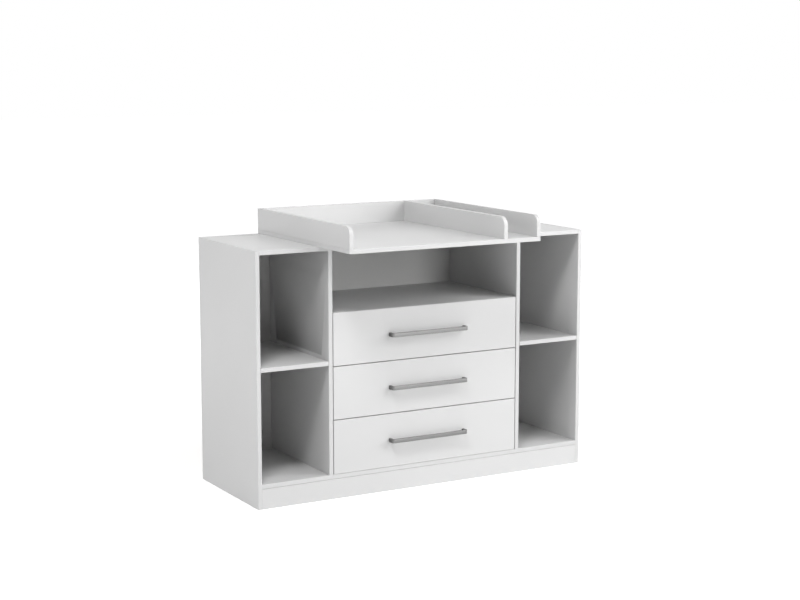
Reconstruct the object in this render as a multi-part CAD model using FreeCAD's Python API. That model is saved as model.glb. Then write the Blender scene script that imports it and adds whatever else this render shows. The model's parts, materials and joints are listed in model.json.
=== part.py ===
"""Changing dresser: drawers and an open compartment between two shelf towers, and a lift-off changing top.

Frame, in millimetres: +X to the right, +Y to the back, +Z up, front facing -Y. The origin lies on the floor,
midway along the width and midway along the overall depth, which is that of the changing top.
"""
import FreeCAD, Part
import math
import os
from collections import namedtuple

V = FreeCAD.Vector

# ---- driving dimensions --------------------------------------------------------------------------------

# boards
BOARD = 16.0                    # coated chipboard of the carcass, the fronts and the changing top
DRAWER_BOARD = 12.0             # sides and back of a drawer box
PANEL = 3.0                     # hardboard of the back panels and the drawer bottoms
GROOVE_PLAY = 0.1               # free space on each face of a panel in its groove
PANEL_BITE = 6.0                # how far a panel's edge enters its groove
GROOVE_FLOOR = 1.0              # free space past the edge of a panel in its groove

# carcass
WIDTH = 1410.0
DEPTH = 507.0
HEIGHT = 940.0
BAY_WIDTH = 800.0               # clear width between the two partitions
PLINTH_HEIGHT = 76.0
BACK_RECESS = 9.0               # from the rear edges of the boards to the back panels
TOWER_SHELF_TOP = 518.0
SHELF_END_PLAY = 1.0            # free space at each end of a tower shelf, and behind it
JOINER_WALL = 1.0               # the plastic strip that joins two back panels behind a partition

# shelf pins
PIN_RADIUS = 2.5
PIN_HOLE_PLAY = 0.05
PIN_HOLE_DEPTH = 10.0
PIN_HOLE_FLOOR = 1.0            # free space past the tip of a pin in its hole
PIN_REACH = 8.0                 # how far a pin stands out of the wall
PIN_SETBACK = 58.0              # from the front edges, and from the back panel
PIN_PITCH = 32.0                # height between two holes of a row

# drawers
FRONT_GAP = 3.0                 # gap around an inset drawer front
LOWER_FRONT_HEIGHT = 200.0
UPPER_FRONT_HEIGHT = 197.0
DRAWER_REAR_GAP = 29.0          # from a drawer's back to the back panel
DRAWER_SIDE_HEIGHT = 130.0
DRAWER_SIDE_LIFT = 25.0         # from the lower edge of a front to the lower edge of the sides
DRAWER_BOTTOM_LIFT = 10.0       # from the lower edge of the sides to the drawer bottom
DRAWER_CAM_EDGE = 33.0          # from the lower and the upper edge of a side to its cams and screws
SHELF_FRONT_PLAY = 2.0          # from the back of the top drawer front to the compartment shelf

# roller rails
RAIL_SPACE = 12.5               # between a partition and a drawer side
RAIL_SHEET = 1.2
RAIL_HEIGHT = 20.0              # clear height inside a cabinet rail
RAIL_FRONT_PLAY = 2.0           # from the back of a drawer front to its cabinet rails
RAIL_SLIDE_PLAY = 1.0           # between the lower flange of a cabinet rail and the drawer rail
RAIL_SCREW_INSET = 60.0         # from each end of a rail to its first screw
DRAWER_RAIL_TOP = 17.5          # underside of the drawer rail's running flange, over the track
DRAWER_RAIL_FOOT = 10.0         # width of the flange under a drawer side
ROLLER_RADIUS = 8.5
ROLLER_WIDTH = 5.0
ROLLER_RIM = 0.6                # rounding of a roller's rims
ROLLER_LIFT = 0.2               # running clearance over the track
ROLLER_INSET = 12.0             # from the end of a rail to the axis of its roller
ROLLER_PIN_RADIUS = 2.0
ROLLER_BORE_PLAY = 0.05
ROLLER_SIDE_PLAY = 0.2
ROLLER_SCREW_PLAY = 1.35        # between the screw heads in a cabinet rail and the rollers that pass them
PIN_HEAD = 0.8
PIN_HEAD_RADIUS = 4.0

# handles
HANDLE_CENTRES = 320.0
HANDLE_BAR = 9.0                # thickness of the bar and width of its two legs
HANDLE_BAND = 15.0              # height of the bar
HANDLE_PROJECTION = 30.0
HANDLE_CORNER = 9.0
HANDLE_EDGE = 1.0
HANDLE_SCREW_RADIUS = 2.0
HANDLE_SCREW_HEAD = 2.4
HANDLE_SCREW_BITE = 12.0
HANDLE_HOLE_PLAY = 0.25         # radial free space of a handle screw in the drawer front

# changing top
TOP_WIDTH = 800.0
TOP_DEPTH = 750.0
TOP_LEFT_OFFSET = 247.0         # from the carcass's left face to the changing top's left face
TOP_BOARD_HEIGHT = 81.0         # height of the upright boards
TOP_CORNER = 32.0               # rounding of their front upper corners
CHANGING_WIDTH = 624.0          # clear width of the changing area, left of the divider
TOP_SCREW_INSET = 60.0          # from each end of an upright board to its first screw
LOCATING_DOWEL_INSET = 100.0    # from the sides of the changing top
LOCATING_DOWEL_SETBACK = 112.0  # from the carcass's front and back
LOCATING_DOWEL_BITE = 10.0      # how far a dowel drops into the carcass top
LOCATING_DOWEL_COVER = 4.0      # board left over a dowel in the base
LOCATING_HOLE_PLAY = 0.4        # radial free space of a locating dowel in the carcass top
LOCATING_HOLE_FLOOR = 1.0       # free space under a locating dowel

# fittings
CAM_RADIUS = 7.5                # bore of a cam lock in a 16 mm board
CAM_DEPTH = 12.6
CAM_REACH = 24.0                # from the end of a board to the cam's centre
SMALL_CAM_RADIUS = 6.0          # bore of a cam lock in a drawer side
SMALL_CAM_DEPTH = 10.0
CAM_PLAY = 0.1
CAM_POCKET_PLAY = 0.3           # between a bolt's head and the pocket of its cam
CAM_SLOT_RADIUS = 0.8           # half the width of the cross slot in a cam's face
BOLT_THREAD_RADIUS = 2.5
BOLT_THREAD = 10.5
BOLT_COLLAR = 0.5               # from the face that a bolt is screwed into to its thicker shank
BOLT_SHANK_RADIUS = 3.4
BOLT_SHANK_PLAY = 1.0           # from the end of the shank to the bore of the cam
BOLT_NECK_RADIUS = 1.8
BOLT_HEAD_RADIUS = 3.2
BOLT_HEAD = 3.0
FITTING_PLAY = 0.05             # radial free space of dowels, bolts and screws in their holes
HOLE_FLOOR = 0.5                # free space past the tip of a dowel, bolt or screw
DOWEL_RADIUS = 4.0
DOWEL_CHAMFER = 0.8
DOWEL_IN_FACE = 10.0
DOWEL_IN_END = 20.0
FITTING_EDGE = 50.0             # from the front and the back panel to the nearest cam
DOWEL_EDGE = 82.0               # from the front and the back panel to the nearest dowel

# wood screws
SCREW_RADIUS = 2.0
SCREW_HEAD_RADIUS = 3.6
SCREW_HEAD = 1.6
TOP_SCREW_LENGTH = 45.0
DRAWER_SCREW_LENGTH = 38.0
BRACKET_SCREW_LENGTH = 14.0
CABINET_RAIL_SCREW_LENGTH = 11.0
DRAWER_RAIL_SCREW_LENGTH = 9.0

# wall brackets
BRACKET_SHEET = 2.0
BRACKET_WIDTH = 40.0
BRACKET_LEG = 45.0
BRACKET_SCREW_EDGE = 10.0       # from the sides of a bracket to its screws
BRACKET_SCREW_SETBACK = 27.0    # from the back panel to its screws
BRACKET_HOLE_RADIUS = 3.0
BRACKET_HOLE_DROP = 30.0        # from the underside of the carcass top to the wall bolt

# ---- places worked out from them -----------------------------------------------------------------------

BACK = TOP_DEPTH / 2
FRONT = BACK - DEPTH
LEFT = -WIDTH / 2
RIGHT = WIDTH / 2
INNER = RIGHT - BOARD                       # inner face of an outer side
BAY = BAY_WIDTH / 2                         # bay face of a partition
FLOOR_TOP = PLINTH_HEIGHT + BOARD           # upper face of the bottom board
TOP_UNDER = HEIGHT - BOARD                  # underside of the top board
PANEL_BACK = BACK - BACK_RECESS
PANEL_FRONT = PANEL_BACK - PANEL
GROOVE = PANEL_BITE + GROOVE_FLOOR
GROOVE_FRONT = PANEL_FRONT - GROOVE_PLAY
GROOVE_BACK = PANEL_BACK + GROOVE_PLAY
PARTITION_BACK = GROOVE_FRONT - JOINER_WALL
BOX_FRONT = FRONT + BOARD                   # back face of the drawer fronts
BOX_BACK = PANEL_FRONT - DRAWER_REAR_GAP    # rear end of the drawer boxes
BOX_LENGTH = BOX_BACK - BOX_FRONT           # length of a drawer's sides and of its rails
TOWER_CENTRE = (INNER + BAY + BOARD) / 2
SHELF_UNDER = TOWER_SHELF_TOP - BOARD
BASE_TOP = HEIGHT + BOARD                   # upper face of the changing top's base

# near and far face of every roller, from the partition towards the drawer
ROLLER_NEAR = RAIL_SHEET + SCREW_HEAD + ROLLER_SCREW_PLAY
ROLLER_FAR = ROLLER_NEAR + ROLLER_WIDTH

X, Y, Z = V(1, 0, 0), V(0, 1, 0), V(0, 0, 1)
SKIN = 0.01                                 # how far a cutting shape stands past the face it opens
SAME = 1e-6                                 # two coordinates this close are one

# ---- pieces and the cuts made in them ------------------------------------------------------------------

Box = namedtuple("Box", "x0 x1 y0 y1 z0 z1")
solids = {}
cuts = {}


def block(x0, x1, y0, y1, z0, z1):
    """A rectangular solid between its limits."""
    return Part.makeBox(x1 - x0, y1 - y0, z1 - z0, V(x0, y0, z0))


def rod(radius, start, direction, length):
    """A cylinder that starts at a point and runs along a unit direction."""
    return Part.makeCylinder(radius, length, start, direction)


def end_circles(shape):
    """The circular edges of a plain cylinder."""
    return [e for e in shape.Edges if e.Closed and len(e.Vertexes) == 1]


def edges_where(shape, test):
    """Edges of a shape whose every end passes a test."""
    return [e for e in shape.Edges if all(test(v) for v in e.Vertexes)]


def add(name, *shapes):
    """Give a piece one or more solids."""
    solids.setdefault(name, []).extend(shapes)


def cut(name, *shapes):
    """Take shapes out of a piece once it is whole."""
    cuts.setdefault(name, []).extend(shapes)


def board(name, *limits):
    """Add a rectangular board and return its limits."""
    limits = Box(*limits)
    add(name, block(*limits))
    return limits


# ---- fittings ------------------------------------------------------------------------------------------

CARCASS_CAMS = ("carcass_cam_locks", "carcass_cam_bolts")


def cam_joint(nodes, holder, host, point, along, face, thickness, bore=CAM_RADIUS, depth=CAM_DEPTH):
    """Tie the end of one board to the face of another, with a cam and a bolt for the two nodes named.

    The bolt, screwed into the host's face at the point, enters the holder's end, and the cam, let into the
    holder's face, whose outward normal is given, draws on the bolt's head.
    """
    locks, bolts = nodes
    centre = point + along * CAM_REACH
    mouth = centre + face * (thickness / 2)
    cam_radius = bore - CAM_PLAY
    cam = rod(cam_radius, mouth - face * (depth - CAM_PLAY), face, depth - 2 * CAM_PLAY)
    pocket = BOLT_HEAD_RADIUS + CAM_POCKET_PLAY
    cam = cam.cut(rod(pocket, centre - along * bore, along, bore + pocket))
    for direction in (along, along.cross(face)):
        start = mouth - direction * (cam_radius / 2) - face * CAM_PLAY
        cam = cam.cut(rod(CAM_SLOT_RADIUS, start, direction, cam_radius))
    add(locks, cam)
    cut(holder, rod(bore, mouth - face * depth, face, depth + SKIN))

    shank = CAM_REACH - bore - BOLT_SHANK_PLAY - BOLT_COLLAR
    thread_radius = BOLT_THREAD_RADIUS - FITTING_PLAY
    bolt = rod(thread_radius, point - along * BOLT_THREAD, along, BOLT_THREAD + BOLT_COLLAR)
    bolt = bolt.fuse(rod(BOLT_SHANK_RADIUS, point + along * BOLT_COLLAR, along, shank))
    bolt = bolt.fuse(rod(BOLT_NECK_RADIUS, point, along, CAM_REACH))
    bolt = bolt.fuse(rod(BOLT_HEAD_RADIUS, centre - along * (BOLT_HEAD / 2), along, BOLT_HEAD))
    add(bolts, bolt.removeSplitter())
    hole = BOLT_THREAD + HOLE_FLOOR
    cut(host, rod(BOLT_THREAD_RADIUS, point - along * hole, along, hole + SKIN))
    cut(holder, rod(BOLT_SHANK_RADIUS + CAM_PLAY, point, along, CAM_REACH))


def dowel(start, along, length):
    """A beech dowel with chamfered ends."""
    pin = rod(DOWEL_RADIUS, start, along, length)
    return pin.makeChamfer(DOWEL_CHAMFER, end_circles(pin))


def dowel_joint(node, holder, host, point, along):
    """Set a dowel across a joint: along points from the host's face into the holder's end."""
    hole = DOWEL_RADIUS + FITTING_PLAY
    add(node, dowel(point - along * DOWEL_IN_FACE, along, DOWEL_IN_FACE + DOWEL_IN_END))
    in_face = DOWEL_IN_FACE + HOLE_FLOOR
    cut(host, rod(hole, point - along * in_face, along, in_face + SKIN))
    cut(holder, rod(hole, point, along, DOWEL_IN_END + HOLE_FLOOR))


def screw(node, point, along, length, through, thickness, into, sunk=True):
    """Drive a wood screw along a direction: through one piece of a thickness and into the next.

    A sunk head lies in a countersink of the first piece, and any other head lies on its face.
    """
    shank = rod(SCREW_RADIUS, point, along, length)
    loose = SCREW_RADIUS + CAM_PLAY
    if sunk:
        rise = SCREW_HEAD_RADIUS - SCREW_RADIUS
        head = Part.makeCone(SCREW_HEAD_RADIUS, SCREW_RADIUS, rise, point, along)
        cut(through, Part.makeCone(SCREW_HEAD_RADIUS + CAM_PLAY, loose, rise, point, along))
    else:
        head = rod(SCREW_HEAD_RADIUS, point - along * SCREW_HEAD, along, SCREW_HEAD)
    add(node, shank.fuse(head).removeSplitter())
    cut(through, rod(loose, point - along * SKIN, along, thickness + 2 * SKIN))
    hole = length - thickness + HOLE_FLOOR
    cut(into, rod(SCREW_RADIUS + FITTING_PLAY, point + along * thickness, along, hole))


# ---- carcass boards ------------------------------------------------------------------------------------

def carcass_boards():
    """The upright and level boards, flush at the front, with the groove for the back panels."""
    z0, z1 = FLOOR_TOP - PANEL_BITE, TOP_UNDER + GROOVE
    board("left_outer_side", LEFT, -INNER, FRONT, BACK, 0, HEIGHT)
    board("right_outer_side", INNER, RIGHT, FRONT, BACK, 0, HEIGHT)
    cut("left_outer_side", block(-INNER - GROOVE, -INNER, GROOVE_FRONT, GROOVE_BACK, z0, z1))
    cut("right_outer_side", block(INNER, INNER + GROOVE, GROOVE_FRONT, GROOVE_BACK, z0, z1))

    board("top_board", -INNER, INNER, FRONT, BACK, TOP_UNDER, HEIGHT)
    board("bottom_board", -INNER, INNER, FRONT, BACK, PLINTH_HEIGHT, FLOOR_TOP)
    cut("top_board", block(-INNER, INNER, GROOVE_FRONT, GROOVE_BACK, TOP_UNDER, z1))
    cut("bottom_board", block(-INNER, INNER, GROOVE_FRONT, GROOVE_BACK, z0, FLOOR_TOP))

    board("left_partition", -BAY - BOARD, -BAY, FRONT, PARTITION_BACK, FLOOR_TOP, TOP_UNDER)
    board("right_partition", BAY, BAY + BOARD, FRONT, PARTITION_BACK, FLOOR_TOP, TOP_UNDER)
    board("front_plinth", -INNER, INNER, FRONT, FRONT + BOARD, 0, PLINTH_HEIGHT)
    board("rear_plinth", -INNER, INNER, BACK - BOARD, BACK, 0, PLINTH_HEIGHT)


def back_panels():
    """Three panels in the groove, joined behind each partition by a strip with an H section."""
    half = BOARD / 2
    web_half = JOINER_WALL / 2
    joint = BAY + half
    free = web_half + GROOVE_FLOOR / 2
    widths = {"left_back_panel": (-INNER - PANEL_BITE, -joint - free),
              "middle_back_panel": (-joint + free, joint - free),
              "right_back_panel": (joint + free, INNER + PANEL_BITE)}
    for name, (x0, x1) in widths.items():
        board(name, x0, x1, PANEL_FRONT, PANEL_BACK, FLOOR_TOP - PANEL_BITE, TOP_UNDER + PANEL_BITE)

    heights = (FLOOR_TOP, TOP_UNDER)
    for x in (-joint, joint):
        front_lip = block(x - half, x + half, PARTITION_BACK, GROOVE_FRONT, *heights)
        rear_lip = block(x - half, x + half, GROOVE_BACK, GROOVE_BACK + JOINER_WALL, *heights)
        web = block(x - web_half, x + web_half, GROOVE_FRONT, GROOVE_BACK, *heights)
        add("back_panel_joiners", front_lip.fuse([web, rear_lip]).removeSplitter())


def compartment_shelf():
    """The fixed shelf over the drawers, hidden in front by the top drawer front."""
    shelf = "compartment_shelf"
    z1 = drawer_levels()["top"][1]
    y0 = BOX_FRONT + SHELF_FRONT_PLAY
    y1 = GROOVE_FRONT
    board(shelf, -BAY, BAY, y0, y1, z1 - BOARD, z1)
    for side, partition in ((-1, "left_partition"), (1, "right_partition")):
        for y in (y0 + FITTING_EDGE, y1 - FITTING_EDGE):
            point = V(side * BAY, y, z1 - BOARD / 2)
            cam_joint(CARCASS_CAMS, shelf, partition, point, X * -side, -Z, BOARD)
        for y in (y0 + DOWEL_EDGE, y1 - DOWEL_EDGE):
            point = V(side * BAY, y, z1 - BOARD / 2)
            dowel_joint("carcass_dowels", shelf, partition, point, X * -side)


def shelf_pin_row(wall, seat, inward):
    """A shelf pin in a wall, and the row of holes that it can be moved along."""
    depth = PIN_HOLE_DEPTH - PIN_HOLE_FLOOR
    peg = rod(PIN_RADIUS - PIN_HOLE_PLAY, seat - inward * depth, inward, depth)
    add("shelf_pins", peg.fuse(rod(PIN_RADIUS, seat, inward, PIN_REACH)).removeSplitter())
    for row in (-1, 0, 1):
        start = seat + Z * (row * PIN_PITCH) - inward * PIN_HOLE_DEPTH
        cut(wall, rod(PIN_RADIUS, start, inward, PIN_HOLE_DEPTH + SKIN))


def tower_shelves():
    """One loose shelf in each tower, on four pins, with a spare hole above and below each pin."""
    inner, outer = BAY + BOARD, INNER
    towers = {"left_tower_shelf": (-outer, -inner, "left_outer_side", "left_partition"),
              "right_tower_shelf": (inner, outer, "right_partition", "right_outer_side")}
    for shelf, (x0, x1, left_wall, right_wall) in towers.items():
        board(shelf, x0 + SHELF_END_PLAY, x1 - SHELF_END_PLAY, FRONT, PANEL_FRONT - SHELF_END_PLAY,
              SHELF_UNDER, TOWER_SHELF_TOP)
        for y in (FRONT + PIN_SETBACK, PANEL_FRONT - PIN_SETBACK):
            height = SHELF_UNDER - PIN_RADIUS - PIN_HOLE_PLAY
            shelf_pin_row(left_wall, V(x0, y, height), X)
            shelf_pin_row(right_wall, V(x1, y, height), -X)


def carcass_fittings():
    """Cams and dowels between the carcass boards: no head or cap shows outside."""
    cam_rows = (FRONT + FITTING_EDGE, PANEL_FRONT - FITTING_EDGE)
    dowel_rows = (FRONT + DOWEL_EDGE, PANEL_FRONT - DOWEL_EDGE)
    level_boards = {"top_board": HEIGHT - BOARD / 2, "bottom_board": PLINTH_HEIGHT + BOARD / 2}
    plinths = {"front_plinth": (FRONT + BOARD / 2, Y), "rear_plinth": (BACK - BOARD / 2, -Y)}

    for side, host in ((-1, "left_outer_side"), (1, "right_outer_side")):
        for holder, z in level_boards.items():
            for y in cam_rows:
                cam_joint(CARCASS_CAMS, holder, host, V(side * INNER, y, z), X * -side, -Z, BOARD)
            for y in dowel_rows:
                dowel_joint("carcass_dowels", holder, host, V(side * INNER, y, z), X * -side)
        for holder, (y, face) in plinths.items():
            point = V(side * INNER, y, PLINTH_HEIGHT / 2)
            cam_joint(CARCASS_CAMS, holder, host, point, X * -side, face, BOARD)

    for side, holder in ((-1, "left_partition"), (1, "right_partition")):
        x = side * (BAY + BOARD / 2)
        for host, z, along in (("top_board", TOP_UNDER, -Z), ("bottom_board", FLOOR_TOP, Z)):
            for y in cam_rows:
                cam_joint(CARCASS_CAMS, holder, host, V(x, y, z), along, X, BOARD)
            for y in dowel_rows:
                dowel_joint("carcass_dowels", holder, host, V(x, y, z), along)
        for plinth, (y, face) in plinths.items():
            dowel_joint("carcass_dowels", plinth, "bottom_board", V(x, y, PLINTH_HEIGHT), -Z)


def wall_brackets():
    """An angle bracket inside the top of each tower, with the hole for a bolt to the wall."""
    y, z = PANEL_FRONT, TOP_UNDER
    for side, panel in ((-1, "left_back_panel"), (1, "right_back_panel")):
        centre = side * TOWER_CENTRE
        x0, x1 = centre - BRACKET_WIDTH / 2, centre + BRACKET_WIDTH / 2
        level = block(x0, x1, y - BRACKET_LEG, y, z - BRACKET_SHEET, z)
        upright = block(x0, x1, y - BRACKET_SHEET, y, z - BRACKET_LEG, z)
        bracket = level.fuse(upright).removeSplitter()
        hole = V(centre, y - BRACKET_SHEET, z - BRACKET_HOLE_DROP)
        add("wall_brackets", bracket.cut(rod(BRACKET_HOLE_RADIUS, hole, Y, BRACKET_SHEET)))
        cut(panel, rod(BRACKET_HOLE_RADIUS, hole, Y, BRACKET_SHEET + PANEL + SKIN))
        for x in (x0 + BRACKET_SCREW_EDGE, x1 - BRACKET_SCREW_EDGE):
            point = V(x, y - BRACKET_SCREW_SETBACK, z - BRACKET_SHEET)
            screw("carcass_screws", point, Z, BRACKET_SCREW_LENGTH, "wall_brackets", BRACKET_SHEET,
                  "top_board", sunk=False)


# ---- drawers -------------------------------------------------------------------------------------------

def drawer_levels():
    """Lower and upper edge of each drawer front, stacked from the bottom board."""
    heights = {"bottom": LOWER_FRONT_HEIGHT, "middle": UPPER_FRONT_HEIGHT, "top": UPPER_FRONT_HEIGHT}
    levels = {}
    z = FLOOR_TOP + FRONT_GAP
    for name, height in heights.items():
        levels[name] = (z, z + height)
        z += height + FRONT_GAP
    return levels


def handle_bar(z):
    """A bow of one flat bar with rounded outer corners, standing on the drawer front at its two legs."""
    half = (HANDLE_CENTRES + HANDLE_BAR) / 2
    nose = FRONT - HANDLE_PROJECTION
    low, high = z - HANDLE_BAND / 2, z + HANDLE_BAND / 2
    bow = block(-half, half, nose, FRONT, low, high)
    corners = []
    for x in (-half, half):
        corners += edges_where(bow, lambda v: abs(v.X - x) < SAME and abs(v.Y - nose) < SAME)
    bow = bow.makeFillet(HANDLE_CORNER, corners)
    inner = half - HANDLE_BAR
    bow = bow.cut(block(-inner, inner, nose + HANDLE_BAR, FRONT + SKIN, low - SKIN, high + SKIN))

    rims = []
    for level in (low, high):
        around = edges_where(bow, lambda v: abs(v.Z - level) < SAME)
        rims += [e for e in around if any(v.Y < FRONT - SAME for v in e.Vertexes)]
    return bow.makeFillet(HANDLE_EDGE, rims)


def drawer(name, z0, z1):
    """One drawer: front, box, handle and the rails and fittings that ride with it."""
    own = name + "_drawer_"
    front, back, fittings = own + "front", own + "back", own + "fittings"
    sides = ((-1, own + "left_side"), (1, own + "right_side"))
    half_front = BAY - FRONT_GAP
    outside = BAY - RAIL_SPACE
    inside = outside - DRAWER_BOARD
    low = z0 + DRAWER_SIDE_LIFT
    high = low + DRAWER_SIDE_HEIGHT
    back_front = BOX_BACK - DRAWER_BOARD

    board(front, -half_front, half_front, FRONT, BOX_FRONT, z0, z1)
    board(own + "left_side", -outside, -inside, BOX_FRONT, BOX_BACK, low, high)
    board(own + "right_side", inside, outside, BOX_FRONT, BOX_BACK, low, high)
    board(back, -inside, inside, back_front, BOX_BACK, low, high)

    floor = low + DRAWER_BOTTOM_LIFT
    board(own + "bottom", -inside - PANEL_BITE, inside + PANEL_BITE, BOX_FRONT - PANEL_BITE,
          back_front + PANEL_BITE, floor, floor + PANEL)
    groove = block(-inside - GROOVE, inside + GROOVE, BOX_FRONT - GROOVE, back_front + GROOVE,
                   floor - GROOVE_PLAY, floor + PANEL + GROOVE_PLAY)
    for piece in (front, own + "left_side", own + "right_side", back):
        cut(piece, groove)

    for side, wall in sides:
        for z in (low + DRAWER_CAM_EDGE, high - DRAWER_CAM_EDGE):
            point = V(side * (outside - DRAWER_BOARD / 2), BOX_FRONT, z)
            cam_joint((fittings, fittings), wall, front, point, Y, X * -side, DRAWER_BOARD,
                      SMALL_CAM_RADIUS, SMALL_CAM_DEPTH)
            point = V(side * outside, BOX_BACK - DRAWER_BOARD / 2, z)
            screw(fittings, point, X * -side, DRAWER_SCREW_LENGTH, wall, DRAWER_BOARD, back)
        drawer_rail(own, side, low, wall)
    handle(own + "handle", fittings, front, (z0 + z1) / 2)


def handle(node, fittings, front, z):
    """A bow handle and its two screws, driven from inside the drawer through the front."""
    add(node, handle_bar(z))
    reach = BOARD + HANDLE_SCREW_BITE
    for x in (-HANDLE_CENTRES / 2, HANDLE_CENTRES / 2):
        point = V(x, BOX_FRONT, z)
        head = rod(SCREW_HEAD_RADIUS, point, Y, HANDLE_SCREW_HEAD)
        add(fittings, rod(HANDLE_SCREW_RADIUS, point, -Y, reach).fuse(head).removeSplitter())
        cut(front, rod(HANDLE_SCREW_RADIUS + HANDLE_HOLE_PLAY, point, -Y, BOARD + SKIN))
        cut(node, rod(HANDLE_SCREW_RADIUS + FITTING_PLAY, V(x, FRONT, z), -Y,
                      HANDLE_SCREW_BITE + HOLE_FLOOR))


# ---- rails and rollers ---------------------------------------------------------------------------------

def span(side, near, far):
    """Limits across X of a stretch measured from the partition on a side towards the drawer."""
    return sorted((side * (BAY - near), side * (BAY - far)))


def roller_pin(start, direction, shoulder):
    """The riveted pin of a roller: a shoulder to the roller's near face, a journal and a head past it."""
    journal = shoulder + ROLLER_WIDTH + 2 * ROLLER_SIDE_PLAY
    pin = rod(PIN_HEAD_RADIUS, start, direction, shoulder)
    pin = pin.fuse(rod(ROLLER_PIN_RADIUS, start, direction, journal + PIN_HEAD))
    return pin.fuse(rod(PIN_HEAD_RADIUS, start + direction * journal, direction, PIN_HEAD))


def roller(side, y, z):
    """A nylon roller with a bore and rounded rims, beside the partition on a side."""
    x0, x1 = span(side, ROLLER_NEAR, ROLLER_FAR)
    start = V(x0, y, z)
    wheel = rod(ROLLER_RADIUS, start, X, x1 - x0)
    wheel = wheel.makeFillet(ROLLER_RIM, end_circles(wheel))
    return wheel.cut(rod(ROLLER_PIN_RADIUS + ROLLER_BORE_PLAY, start, X, x1 - x0))


def cabinet_rails(name, z0):
    """A pair of C rails on the partitions, each with its screws and the roller at its front end."""
    track = z0 + DRAWER_SIDE_LIFT - RAIL_SHEET
    y0 = BOX_FRONT + RAIL_FRONT_PLAY
    y1 = y0 + BOX_LENGTH
    axis_y = y0 + ROLLER_INSET
    axis_z = track + ROLLER_RADIUS + ROLLER_LIFT
    ceiling = track + RAIL_HEIGHT
    reach = RAIL_SPACE - RAIL_SHEET - RAIL_SLIDE_PLAY
    for side, own in ((-1, "left_"), (1, "right_")):
        rails = own + "cabinet_rails"
        web = block(*span(side, 0, RAIL_SHEET), y0, y1, track - RAIL_SHEET, ceiling + RAIL_SHEET)
        flange = block(*span(side, 0, reach), y0, y1, track - RAIL_SHEET, track)
        lip = block(*span(side, 0, ROLLER_FAR), y0, y1, ceiling, ceiling + RAIL_SHEET)
        pin = roller_pin(V(side * BAY, axis_y, axis_z), X * -side, ROLLER_NEAR - ROLLER_SIDE_PLAY)
        add(rails, web.fuse([flange, lip, pin]).removeSplitter())
        add(name + "_cabinet_rollers", roller(side, axis_y, axis_z))
        for y in (y0 + RAIL_SCREW_INSET, (y0 + y1) / 2, y1 - RAIL_SCREW_INSET):
            point = V(side * (BAY - RAIL_SHEET), y, axis_z)
            screw("carcass_screws", point, X * side, CABINET_RAIL_SCREW_LENGTH, rails, RAIL_SHEET,
                  own + "partition", sunk=False)


def drawer_rail(own, side, low, wall):
    """The rail under a drawer side, with the roller at its rear end and two screws into the side."""
    track = low - RAIL_SHEET
    ceiling = track + DRAWER_RAIL_TOP
    y0, y1 = BOX_FRONT, BOX_BACK
    axis_y = y1 - ROLLER_INSET
    axis_z = track + ROLLER_RADIUS + ROLLER_LIFT
    web_near = RAIL_SPACE - RAIL_SHEET
    web = block(*span(side, web_near, RAIL_SPACE), y0, y1, track, ceiling + RAIL_SHEET)
    foot = block(*span(side, web_near, RAIL_SPACE + DRAWER_RAIL_FOOT), y0, y1, track, low)
    running = block(*span(side, ROLLER_NEAR - ROLLER_SIDE_PLAY, RAIL_SPACE), y0, y1, ceiling,
                    ceiling + RAIL_SHEET)
    web_centre = RAIL_SPACE - RAIL_SHEET / 2
    start = V(side * (BAY - web_centre), axis_y, axis_z)
    pin = roller_pin(start, X * side, web_centre - ROLLER_FAR - ROLLER_SIDE_PLAY)
    add(own + "rails", web.fuse([foot, running, pin]).removeSplitter())
    add(own + "rollers", roller(side, axis_y, axis_z))
    for y in (y0 + RAIL_SCREW_INSET, y1 - RAIL_SCREW_INSET):
        point = V(side * (BAY - RAIL_SPACE - DRAWER_BOARD / 2), y, track)
        screw(own + "fittings", point, Z, DRAWER_RAIL_SCREW_LENGTH, own + "rails", RAIL_SHEET, wall,
              sunk=False)


# ---- changing top --------------------------------------------------------------------------------------

def upright_board(name, x0, x1, y0, y1):
    """An upright board of the changing top with a rounded front upper corner."""
    z0 = BASE_TOP
    z1 = z0 + TOP_BOARD_HEIGHT
    low_start, arc_start = V(x0, y0, z0), V(x0, y0, z1 - TOP_CORNER)
    arc_end, high_end, low_end = V(x0, y0 + TOP_CORNER, z1), V(x0, y1, z1), V(x0, y1, z0)
    lean = TOP_CORNER * math.sqrt(0.5)
    arc_middle = V(x0, y0 + TOP_CORNER - lean, z1 - TOP_CORNER + lean)
    outline = Part.Wire([Part.LineSegment(low_start, arc_start).toShape(),
                         Part.Arc(arc_start, arc_middle, arc_end).toShape(),
                         Part.LineSegment(arc_end, high_end).toShape(),
                         Part.LineSegment(high_end, low_end).toShape(),
                         Part.LineSegment(low_end, low_start).toShape()])
    add(name, Part.Face(outline).extrude(X * (x1 - x0)))


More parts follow.
